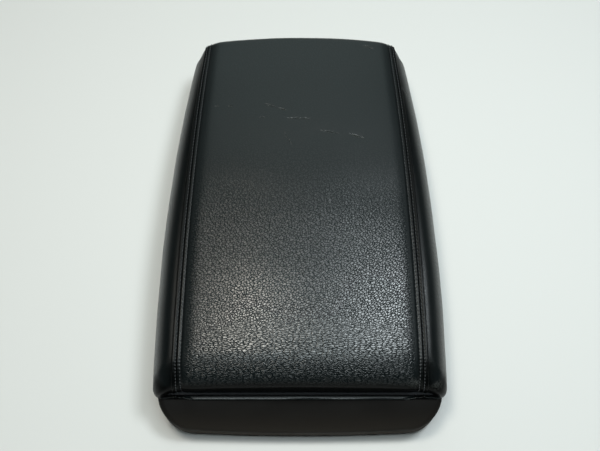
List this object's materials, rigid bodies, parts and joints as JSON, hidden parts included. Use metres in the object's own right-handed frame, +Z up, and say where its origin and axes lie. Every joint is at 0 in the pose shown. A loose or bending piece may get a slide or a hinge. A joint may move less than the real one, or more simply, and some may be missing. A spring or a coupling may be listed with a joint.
{
  "type": "car centre armrest",
  "caption": "Padded leather-covered centre console armrest lid on a moulded shell, with a finger-lift latch at the front and a bolt-down rear hinge.",
  "frame": {"origin": "centre of the four hinge bolts, on the underside of the hinge base bracket that meets the console", "axes": "+X to the right, +Y from the front lip to the rear hinge, +Z up out of the console"},
  "size_m": [0.2006, 0.3185, 0.062],
  "materials": {
    "leather": "black pebble-grain leather, semi-gloss",
    "foam": "moulded polyurethane foam",
    "carrier_plastic": "plain moulded",
    "shell_plastic": "fine-grained moulded, satin",
    "rubber": "moulded",
    "bracket_steel": "black coated sheet steel",
    "steel": "zinc plated",
    "bush_plastic": "natural acetal",
    "latch_plastic": "fine-grained moulded"
  },
  "bodies": {
    "hinge_base": {"hinge_base_bracket": "bracket_steel", "hinge_pin": "steel", "hinge_pin_clip": "steel"},
    "lid": {"top_panel": "leather", "left_side_panel": "leather", "right_side_panel": "leather", "foam_pad": "foam", "pad_carrier": "carrier_plastic", "cover_staples": "steel", "lower_shell": "shell_plastic", "shell_screws": "steel", "bump_stop_front_left": "rubber", "bump_stop_front_right": "rubber", "bump_stop_rear_left": "rubber", "bump_stop_rear_right": "rubber", "hinge_lid_bracket": "bracket_steel", "hinge_bush_left": "bush_plastic", "hinge_bush_right": "bush_plastic", "hinge_screws": "steel", "latch_housing": "latch_plastic", "latch_pin": "steel", "latch_spring": "steel", "latch_screws": "steel"},
    "lever": {"latch_lever": "latch_plastic"}
  },
  "joints": [
    {"name": "lid_hinge", "type": "hinge", "parent": "hinge_base", "child": "lid", "pos_m": [0, 0.026, 0.012], "axis": [-1, 0, 0], "range_deg": [0, 92]},
    {"name": "latch_lift", "type": "hinge", "parent": "lid", "child": "lever", "pos_m": [0, -0.25, 0.0135], "axis": [-1, 0, 0], "range_deg": [0, 16], "stiffness_Nm_per_rad": 0.05, "springref_deg": -17.19, "deforming": ["latch_spring"]}
  ]
}
